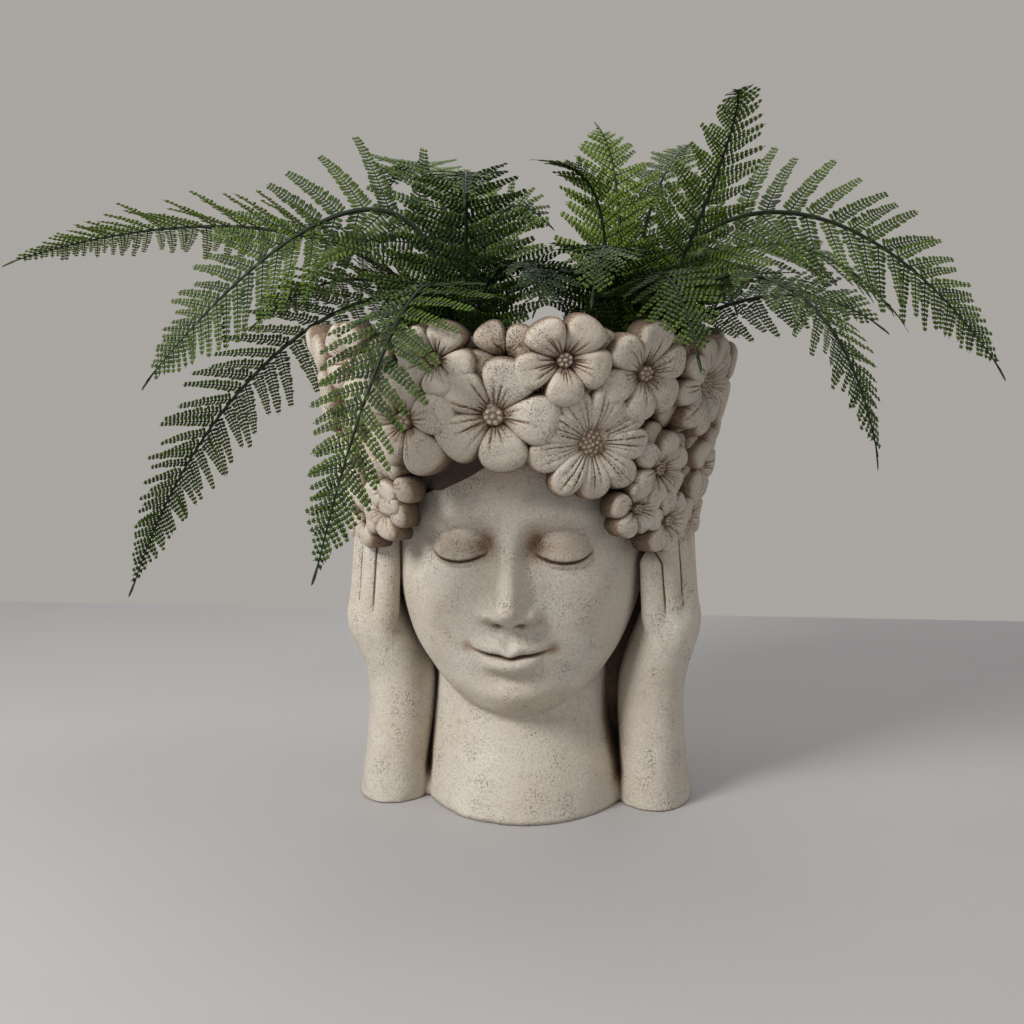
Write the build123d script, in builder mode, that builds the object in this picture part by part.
"""Head planter: a cast stone pot in the shape of a head held between two hands and crowned with
open flowers, with two sprays of moulded fern that push into a plug of dry foam.

The origin is on the table at the middle of the drain hole, +Z is up and the face looks along -Y.
Every length is in millimetres and every angle in degrees.
"""

from build123d import *
import math
import os

os.makedirs("parts", exist_ok=True)

# Casting: walls and well
rim_height = 278
wall = 12
floor_thickness = 14
drain_radius = 8
well_foot_radius = 36
well_waist_radius = 40
well_waist_height = 66
well_cheek_radius = 52
well_cheek_height = 132
well_shoulder_radius = 62
well_shoulder_height = 178
well_ledge_height = 200
overrun = 5
round_sides = 36

# Casting: head
chin_height = 60
head_height = 200
face_half_width = 77
head_half_depth = 92
head_shares = [
    # height, half width, front and back, as shares of the four head sizes
    (0.00, 0.22, 0.84, 0.46),
    (0.05, 0.47, 0.945, 0.20),
    (0.14, 0.70, 0.985, -0.12),
    (0.26, 0.87, 0.995, -0.50),
    (0.42, 0.98, 1.00, -0.84),
    (0.60, 1.00, 1.00, -0.96),
    (0.80, 0.96, 0.965, -0.96),
    (1.00, 0.84, 0.86, -0.90),
]
head_sides = 24

# Casting: neck, and the web behind the forearms
neck_height = 150
neck_foot_half_width = 56
neck_foot_half_depth = 86
neck_forward = 12
neck_shares = [
    # height, half width and half depth, as shares of the neck sizes
    (0.00, 1.00, 1.00),
    (0.14, 0.96, 0.93),
    (0.34, 0.90, 0.83),
    (0.62, 0.89, 0.78),
    (1.00, 0.98, 0.80),
]
neck_sides = 20
web_half_width = 82
web_half_depth = 47
web_set_back = 16
web_height = 156
web_shares = [(0.0, 1.0, 1.0), (0.4, 0.93, 0.92), (0.8, 1.0, 1.0), (1.0, 0.9, 0.95)]

# Casting: forearms, hands and fingers
forearm_spread = 81
forearm_half_width = 22
forearm_half_depth = 43
forearm_forward = 25
hand_height = 172
forearm_shares = [
    # height, spread, half width, half depth and forward place, as shares of the sizes above
    (0.00, 1.00, 1.00, 1.00, 1.00),
    (0.20, 0.99, 0.95, 0.92, 0.96),
    (0.42, 1.00, 0.83, 0.78, 0.88),
    (0.60, 1.10, 0.80, 0.80, 0.88),
    (0.78, 1.155, 0.78, 0.84, 0.84),
    (0.92, 1.13, 0.66, 0.80, 0.72),
    (1.00, 1.08, 0.55, 0.74, 0.68),
]
forearm_sides = 14
finger_radius = 7.5
finger_length = 54
finger_foot_height = 138
finger_shares = [
    # foot spread, foot forward place, tip spread, tip forward place, as shares of the forearm's
    (1.10, 2.25, 1.00, 1.80),
    (1.21, 1.66, 1.12, 1.28),
    (1.27, 0.98, 1.18, 0.66),
    (1.27, 0.30, 1.19, 0.04),
]
finger_girth_shares = [(0.0, 0.7), (0.25, 1.0), (0.7, 0.95), (0.92, 0.72), (1.0, 0.3)]
finger_sides = 8

# Casting: face
eye_height = 160
eye_spread = 30
lid_half_width = 15.5
lid_half_height = 9
lid_rise = 4.5
lid_turn = 20
lid_slope = 30
lid_sides = 12
socket_depth = 5
nose_foot_height = 119
nose_height = 52
nose_half_width = 14
nose_rise = 20
nose_shares = [
    # height, half width and rise, as shares of the nose sizes
    (0.00, 0.80, 0.45),
    (0.07, 1.00, 0.92),
    (0.20, 0.80, 1.00),
    (0.45, 0.52, 0.72),
    (0.75, 0.46, 0.36),
    (1.00, 0.55, 0.05),
]
mouth_height = 99
mouth_half_width = 22
lip_height = 8
lip_rise = 5
lip_shares = [
    # place across the mouth, height and rise, as shares of the lip sizes
    (-1.00, 0.12, 0.10),
    (-0.55, 0.70, 0.75),
    (-0.20, 1.00, 1.00),
    (0.20, 1.00, 1.00),
    (0.55, 0.70, 0.75),
    (1.00, 0.12, 0.10),
]

# Casting: crown of flowers
band_foot_height = 184
band_foot_radius = 101
band_top_radius = 117
bloom_radius = 34
bloom_rise = 9
bloom_depth = 16
button_radius = 9
button_rise = 5
petal_shares = [(-0.5, 0.56), (-0.31, 1.0), (0.31, 1.0)]
bloom_shares = [
    # angle from the face, height as a share of the rim's, radius as a share, petals
    (-2, 0.842, 0.91, 5),
    (15, 0.955, 0.71, 5),
    (24, 0.791, 1.03, 8),
    (39, 0.925, 0.79, 5),
    (64, 0.900, 0.88, 6),
    (48, 0.730, 0.66, 5),
    (76, 0.715, 0.65, 5),
    (-28, 0.834, 0.88, 5),
    (-47, 0.945, 0.70, 5),
    (-16, 0.965, 0.60, 5),
    (-74, 0.900, 0.98, 6),
    (-39, 0.690, 0.60, 5),
    (-64, 0.705, 0.72, 5),
    (97, 0.870, 0.95, 5),
    (104, 0.690, 0.68, 5),
    (129, 0.850, 0.95, 6),
    (134, 0.680, 0.68, 5),
    (160, 0.880, 0.90, 5),
    (163, 0.700, 0.68, 5),
    (-170, 0.850, 0.90, 6),
    (-168, 0.680, 0.62, 5),
    (-138, 0.860, 0.95, 5),
    (-137, 0.680, 0.70, 5),
    (-107, 0.860, 0.92, 7),
    (-102, 0.680, 0.65, 5),
]

# Foam plug
plug_foot_height = 186
plug_top_height = 238
plug_gap = 0.3
stem_gap = 0.1

# Fern stems
shank_radius = 4
shank_sides = 12
shank_foot_height = 198
hub_foot_height = 246
hub_height = 262
hub_radius = 9
slot_ring_radius = 6.6
slot_depth = 7
slot_gap = 0.05
left_bush_x = -40
right_bush_x = 62

# Fronds
frond_span = 260
stalk_width = 2.2
stalk_rise = 2
tip_width = 0.9
bare_steps = 3
leaf_length = 50
leaf_width_share = 0.24
leaf_thickness = 1.0
leaf_lean = 28
leaf_run_start = 0.30
leaf_run_end = 0.92
left_frond_shares = [
    # slot angle; first handle, second handle and tip as shares of the span; leaf length as a
    # share; roll of the blade in degrees; leaf pairs
    (215, (-0.02, 0.00, 0.46), (-0.29, -0.04, 0.48), (-0.73, -0.10, -0.05), 1.00, -55, 8),
    (250, (0.00, -0.19, 0.32), (-0.04, -0.71, 0.18), (-0.23, -0.52, -0.42), 0.64, 0, 8),
    (290, (0.03, -0.06, 0.34), (0.05, -0.22, 0.50), (0.07, -0.42, 0.34), 0.48, 0, 6),
    (75, (0.02, 0.10, 0.28), (-0.02, 0.38, 0.42), (-0.06, 0.62, 0.20), 0.60, 0, 7),
    (103, (-0.02, 0.05, 0.30), (-0.08, 0.25, 0.62), (-0.26, 0.50, 0.44), 0.68, 0, 7),
    (131, (-0.12, 0.27, 0.35), (-0.75, 0.42, 0.02), (-0.90, 0.19, -0.61), 0.76, 30, 9),
    (159, (-0.09, 0.06, 0.21), (-0.33, 0.18, 0.26), (-0.57, 0.26, 0.08), 0.44, 0, 6),
    (187, (-0.09, 0.02, 0.29), (-0.57, 0.18, 0.42), (-1.22, 0.26, 0.24), 0.64, 25, 9),
]
right_frond_shares = [
    (16, (0.08, -0.01, 0.42), (0.50, -0.03, 0.48), (0.85, -0.05, -0.02), 0.88, 50, 8),
    (42, (0.10, 0.06, 0.26), (0.40, 0.20, 0.42), (0.70, 0.31, 0.08), 0.60, 0, 7),
    (68, (0.06, 0.14, 0.27), (0.19, 0.42, 0.38), (0.30, 0.66, 0.12), 0.60, 0, 7),
    (94, (0.02, 0.08, 0.30), (0.08, 0.18, 0.48), (0.16, 0.40, 0.54), 0.56, 0, 6),
    (124, (0.00, 0.06, 0.34), (-0.04, 0.18, 0.55), (-0.08, 0.24, 0.56), 0.52, 0, 6),
    (190, (-0.06, -0.02, 0.28), (-0.02, -0.06, 0.44), (-0.19, -0.17, 0.44), 0.40, 0, 5),
    (246, (-0.02, -0.12, 0.24), (-0.04, -0.34, 0.34), (-0.06, -0.48, 0.14), 0.44, 0, 6),
    (272, (0.02, -0.10, 0.22), (0.10, -0.36, 0.28), (0.15, -0.50, 0.02), 0.44, 0, 6),
    (298, (0.10, -0.14, 0.22), (0.42, -0.36, 0.34), (0.52, -0.42, -0.18), 0.56, 0, 7),
    (324, (0.16, -0.09, 0.26), (0.28, -0.14, 0.62), (0.22, -0.30, 0.56), 0.56, 0, 7),
    (350, (0.16, -0.04, 0.12), (0.38, -0.10, 0.22), (0.56, -0.15, 0.08), 0.44, 0, 6),
]


def oval(middle_x, middle_y, height, half_width, half_depth, sides):
    """A level oval of straight sides around a middle point."""
    turns = [math.tau * (side + 0.5) / sides for side in range(sides)]
    with BuildSketch(Plane(origin=(middle_x, middle_y, height))) as outline:
        with BuildLine():
            Polyline(
                *[(half_width * math.sin(turn), half_depth * math.cos(turn)) for turn in turns],
                close=True,
            )
        make_face()
    return outline.sketch


def column(rows, sides):
    """A ruled column through ovals, each a middle x, middle y, height, half width, half depth."""
    rings = [oval(*row, sides) for row in rows]
    return loft(sections=rings, ruled=True, mode=Mode.PRIVATE)


def frustum(middle_x, foot, top, sides):
    """A straight-sided round frustum between two heights, each given with its radius."""
    low, low_radius = foot
    high, high_radius = top
    flat_change = (low_radius - high_radius) * math.cos(math.pi / sides)
    slope = math.degrees(math.atan2(flat_change, high - low))
    foot_plane = Plane(origin=(middle_x, 0, low))
    with BuildPart() as piece:
        with BuildSketch(foot_plane):
            RegularPolygon(low_radius, sides)
        extrude(amount=high - low)
        if slope:
            walls = piece.faces().filter_by(Axis.Z, reverse=True)
            draft(walls, neutral_plane=foot_plane, angle=slope)
    return piece.part


def round_stack(rows, sides, middle_x=0):
    """Frustums on top of each other, each row a height and a radius."""
    return [frustum(middle_x, foot, top, sides) for foot, top in zip(rows, rows[1:])]


def almond(plane, half_width, half_height):
    """The outline of an eyelid, on a plane that faces out of the head."""
    turns = [math.tau * step / lid_sides for step in range(lid_sides)]
    with BuildSketch(plane) as outline:
        with BuildLine():
            Polyline(
                *[(half_width * math.cos(turn), half_height * math.sin(turn)) for turn in turns],
                close=True,
            )
        make_face()
    return outline.sketch


def head_front(x, height):
    """How far in front of the origin the head's surface lies at a place across the face."""
    height_share = (height - chin_height) / head_height
    for low, high in zip(head_shares, head_shares[1:]):
        if low[0] <= height_share <= high[0]:
            blend = (height_share - low[0]) / (high[0] - low[0])
            width_share, front, back = [a + (b - a) * blend for a, b in zip(low[1:], high[1:])]
    across = min(abs(x) / (width_share * face_half_width), 1)
    half_depth = (front - back) / 2 * head_half_depth
    return (front + back) / 2 * head_half_depth + half_depth * math.sqrt(1 - across**2)


band = round_stack(
    [
        (band_foot_height - wall, band_foot_radius - wall),
        (band_foot_height, band_foot_radius),
        (rim_height, band_top_radius),
    ],
    round_sides,
)
well = round_stack(
    [
        (floor_thickness, well_foot_radius),
        (well_waist_height, well_waist_radius),
        (well_cheek_height, well_cheek_radius),
        (well_shoulder_height, well_shoulder_radius),
        (well_ledge_height, band_foot_radius - wall),
        (rim_height, band_top_radius - wall),
        (rim_height + bloom_radius, band_top_radius - wall),
    ],
    round_sides,
)

# Flowers: flat petals that spring from a raised button, let into the band
blooms = []
for angle, height_share, size_share, petals in bloom_shares:
    height = height_share * rim_height
    band_share = (height - band_foot_height) / (rim_height - band_foot_height)
    reach = band_foot_radius + (band_top_radius - band_foot_radius) * band_share
    turn = math.radians(angle)
    bloom_plane = Plane(
        origin=(reach * math.sin(turn), -reach * math.cos(turn), height),
        x_dir=(math.cos(turn), math.sin(turn), 0),
        z_dir=(math.sin(turn), -math.cos(turn), 0),
    ).offset(-bloom_depth)
    radius = size_share * bloom_radius
    corners = []
    for petal in range(petals):
        for turn_share, radius_share in petal_shares:
            corner_turn = math.tau * (petal + turn_share) / petals
            reach_out = radius_share * radius
            corners.append((reach_out * math.sin(corner_turn), reach_out * math.cos(corner_turn)))
    with BuildPart() as bloom:
        with BuildSketch(bloom_plane):
            with BuildLine():
                Polyline(*corners, close=True)
            make_face()
        extrude(amount=bloom_depth + bloom_rise)
        with BuildSketch(bloom_plane.offset(bloom_depth + bloom_rise)):
            RegularPolygon(size_share * button_radius, petals + 1)
        extrude(amount=button_rise)
    blooms.append(bloom.part)

with BuildPart() as planter_body:
    # head: ovals whose jaw line rises towards the back
    head_rings = [
        oval(
            0,
            -(front + back) / 2 * head_half_depth,
            chin_height + height_share * head_height,
            width_share * face_half_width,
            (front - back) / 2 * head_half_depth,
            head_sides,
        )
        for height_share, width_share, front, back in head_shares
    ]
    solids = [loft(sections=head_rings, mode=Mode.PRIVATE)]

    # neck: waisted, and spread at its foot to stand on
    neck_rows = [
        (
            0,
            -neck_forward,
            height_share * neck_height,
            width_share * neck_foot_half_width,
            depth_share * neck_foot_half_depth,
        )
        for height_share, width_share, depth_share in neck_shares
    ]
    solids.append(column(neck_rows, neck_sides))

    # web: joins the neck and the forearms behind the two front grooves
    web_rows = [
        (
            0,
            web_set_back,
            height_share * web_height,
            width_share * web_half_width,
            depth_share * web_half_depth,
        )
        for height_share, width_share, depth_share in web_shares
    ]
    solids.append(column(web_rows, neck_sides))

    for side in (-1, 1):
        # forearm, wrist and palm in one run
        arm_rows = [
            (
                side * spread_share * forearm_spread,
                -forward_share * forearm_forward,
                height_share * hand_height,
                width_share * forearm_half_width,
                depth_share * forearm_half_depth,
            )
            for height_share, spread_share, width_share, depth_share, forward_share in forearm_shares
        ]
        solids.append(column(arm_rows, forearm_sides))

        # fingers, with their tips under the flowers
        for foot_spread, foot_forward, tip_spread, tip_forward in finger_shares:
            finger_rows = [
                (
                    side * (foot_spread + (tip_spread - foot_spread) * share) * forearm_spread,
                    -(foot_forward + (tip_forward - foot_forward) * share) * forearm_forward,
                    finger_foot_height + share * finger_length,
                    girth_share * finger_radius,
                    girth_share * finger_radius,
                )
                for share, girth_share in finger_girth_shares
            ]
            solids.append(column(finger_rows, finger_sides))
    add(solids + band, clean=False)

    # eyes: a socket under each brow, with the closed lid inside it
    sockets = []
    lids = []
    for side in (-1, 1):
        turn = math.radians(lid_turn)
        eye_plane = Plane(
            origin=(side * eye_spread, -head_front(eye_spread, eye_height), eye_height),
            x_dir=(math.cos(turn), side * math.sin(turn), 0),
            z_dir=(side * math.sin(turn), -math.cos(turn), 0),
        ).offset(-socket_depth)
        socket = almond(eye_plane, lid_half_width + socket_depth, lid_half_height + socket_depth)
        sockets.append(extrude(socket, amount=wall, taper=-lid_slope, mode=Mode.PRIVATE))
        lid_plane = eye_plane.offset(-socket_depth)
        lid = almond(lid_plane, lid_half_width + lid_rise, lid_half_height + lid_rise)
        lids.append(
            extrude(lid, amount=2 * socket_depth + lid_rise, taper=lid_slope, mode=Mode.PRIVATE)
        )
    add(sockets, clean=False, mode=Mode.SUBTRACT)

    # nose: from between the brows to the wings and the base
    for height_share, width_share, rise_share in nose_shares:
        height = nose_foot_height + height_share * nose_height
        half_width = width_share * nose_half_width
        front = -head_front(half_width, height)
        rise = rise_share * nose_rise
        with BuildSketch(Plane.XY.offset(height)):
            with BuildLine():
                Polyline(
                    (-half_width, front + wall / 2),
                    (-half_width, front - rise / 4),
                    (-half_width / 2, front - rise),
                    (half_width / 2, front - rise),
                    (half_width, front - rise / 4),
                    (half_width, front + wall / 2),
                    close=True,
                )
            make_face()
    features = lids + [loft(ruled=True, mode=Mode.PRIVATE)]

    # lips: one run across the face for each
    for direction in (1, -1):
        for place_share, height_share, rise_share in lip_shares:
            x = place_share * mouth_half_width
            surface = -head_front(x, mouth_height)
            height = direction * height_share * lip_height
            rise = rise_share * lip_rise
            with BuildSketch(Plane(origin=(x, surface, mouth_height), x_dir=(0, -1, 0), z_dir=(-1, 0, 0))):
                with BuildLine():
                    Polyline(
                        (-wall / 2, 0),
                        (rise / 2, 0),
                        (rise, height / 3),
                        (rise / 3, height),
                        (-wall / 2, height),
                        close=True,
                    )
                make_face()
        features.append(loft(ruled=True, mode=Mode.PRIVATE))
    add(features + blooms, clean=False)

    # well: follows the outside at a wall's thickness, with a hole to drain it
    with BuildSketch(Plane.XY):
        Circle(drain_radius)
    drain = extrude(amount=floor_thickness + overrun, mode=Mode.PRIVATE)
    add(well + [drain], clean=False, mode=Mode.SUBTRACT)

planter_body.part.label = "planter_body"
export_step(planter_body.part, "parts/planter_body.step")

# Foam: a tapered plug that sits on the shoulder of the well
plug_foot_radius = (
    well_shoulder_radius
    + (band_foot_radius - wall - well_shoulder_radius)
    * (plug_foot_height - well_shoulder_height)
    / (well_ledge_height - well_shoulder_height)
    - plug_gap
)
plug_waist_radius = band_foot_radius - wall - plug_gap
plug_top_radius = (
    plug_waist_radius
    + (band_top_radius - band_foot_radius)
    * (plug_top_height - well_ledge_height)
    / (rim_height - well_ledge_height)
)
plug = round_stack(
    [
        (plug_foot_height, plug_foot_radius),
        (well_ledge_height + plug_gap, plug_waist_radius),
        (plug_top_height, plug_top_radius),
    ],
    round_sides,
)
with BuildPart() as foam_block:
    add(plug)
    with BuildSketch(Plane.XY.offset(shank_foot_height)):
        with Locations((left_bush_x, 0), (right_bush_x, 0)):
            RegularPolygon(shank_radius + stem_gap, shank_sides)
    extrude(amount=plug_top_height - shank_foot_height + overrun, mode=Mode.SUBTRACT)

foam_block.part.label = "foam_block"
export_step(foam_block.part, "parts/foam_block.step")

# Stems: a shank that pushes into the foam, and a head with a slot for each frond
for bush_name, bush_x, frond_shares in (
    ("left_bush_stem", left_bush_x, left_frond_shares),
    ("right_bush_stem", right_bush_x, right_frond_shares),
):
    stem_rows = [
        (shank_foot_height, shank_radius),
        (hub_foot_height, shank_radius),
        (hub_height - slot_depth, hub_radius),
        (hub_height, hub_radius),
    ]
    stem_pieces = round_stack(stem_rows, shank_sides, bush_x)
    with BuildPart() as bush_stem:
        add(stem_pieces)
        with BuildSketch(Plane(origin=(bush_x, 0, hub_height - slot_depth))):
            for slot_angle, *_ in frond_shares:
                with PolarLocations(slot_ring_radius, 1, start_angle=slot_angle):
                    Rectangle(stalk_width + 2 * slot_gap, stalk_width + 2 * slot_gap)
        extrude(amount=slot_depth + overrun, mode=Mode.SUBTRACT)
    bush_stem.part.label = bush_name
    export_step(bush_stem.part, f"parts/{bush_name}.step")


def along(points, share):
    """The point of a cubic curve at a share of its run, and the direction of the curve there."""
    start, handle_a, handle_b, end = points
    rest = 1 - share
    place = (
        start * rest**3
        + handle_a * (3 * rest**2 * share)
        + handle_b * (3 * rest * share**2)
        + end * share**3
    )
    heading = (
        (handle_a - start) * rest**2
        + (handle_b - handle_a) * (2 * rest * share)
        + (end - handle_b) * share**2
    )
    return place, heading.normalized()


# Fronds: a stalk that arches out of its slot, with leaves in pairs along both sides
for bush_name, bush_x, frond_shares in (
    ("left", left_bush_x, left_frond_shares),
    ("right", right_bush_x, right_frond_shares),
):
    for number, row in enumerate(frond_shares, start=1):
        slot_angle, *curve_shares, length_share, roll, pairs = row
        middle = Vector(bush_x, 0, hub_height)
        slot_dir = Vector(math.cos(math.radians(slot_angle)), math.sin(math.radians(slot_angle)), 0)
        slot_point = middle + slot_dir * slot_ring_radius
        points = [slot_point + Vector(0, 0, stalk_rise)]
        points += [middle + Vector(*shares) * frond_span for shares in curve_shares]
        outward = Vector(curve_shares[-1][0], curve_shares[-1][1], 0).normalized()
        across = Vector(0, 0, 1).cross(outward)
        steps = bare_steps + pairs
        stations = []
        for step in range(steps + 1):
            place, heading = along(points, step / steps)
            flat = (across - heading * across.dot(heading)).normalized()
            stations.append((place, heading, flat))
        with BuildPart() as frond:
            # stalk
            slot_foot = slot_point - Vector(0, 0, slot_depth)
            with BuildSketch(Plane(origin=slot_foot, x_dir=slot_dir, z_dir=(0, 0, 1))):
                Rectangle(stalk_width, stalk_width)
            extrude(amount=slot_depth + stalk_rise + stalk_width / 2)
            for step, (place, heading, flat) in enumerate(stations):
                width = stalk_width + (tip_width - stalk_width) * step / steps
                with BuildSketch(Plane(origin=place, x_dir=flat, z_dir=heading)):
                    Rectangle(width, width)
            loft(ruled=True, clean=False)
            # leaves
            for pair in range(pairs):
                place, heading, flat = stations[bare_steps + pair]
                upright = heading.cross(flat)
                roll_turn = math.radians(roll)
                side_dir = flat * math.cos(roll_turn) + upright * math.sin(roll_turn)
                run_share = leaf_run_start + (leaf_run_end - leaf_run_start) * pair / (pairs - 1)
                length = length_share * leaf_length * math.sin(math.pi * run_share)
                half_width = length * leaf_width_share / 2
                lean = math.radians(leaf_lean)
                reach = (length * math.cos(lean), length * math.sin(lean))
                leaf_plane = Plane(origin=place, x_dir=side_dir, z_dir=side_dir.cross(heading))
                with BuildSketch(leaf_plane):
                    with BuildLine():
                        Polyline(
                            (-reach[0], reach[1]),
                            (0, half_width),
                            (reach[0], reach[1]),
                            (0, -half_width),
                            close=True,
                        )
                    make_face()
            extrude(amount=leaf_thickness / 2, both=True, clean=False)
        frond.part.label = f"{bush_name}_frond_{number}"
        export_step(frond.part, f"parts/{bush_name}_frond_{number}.step")
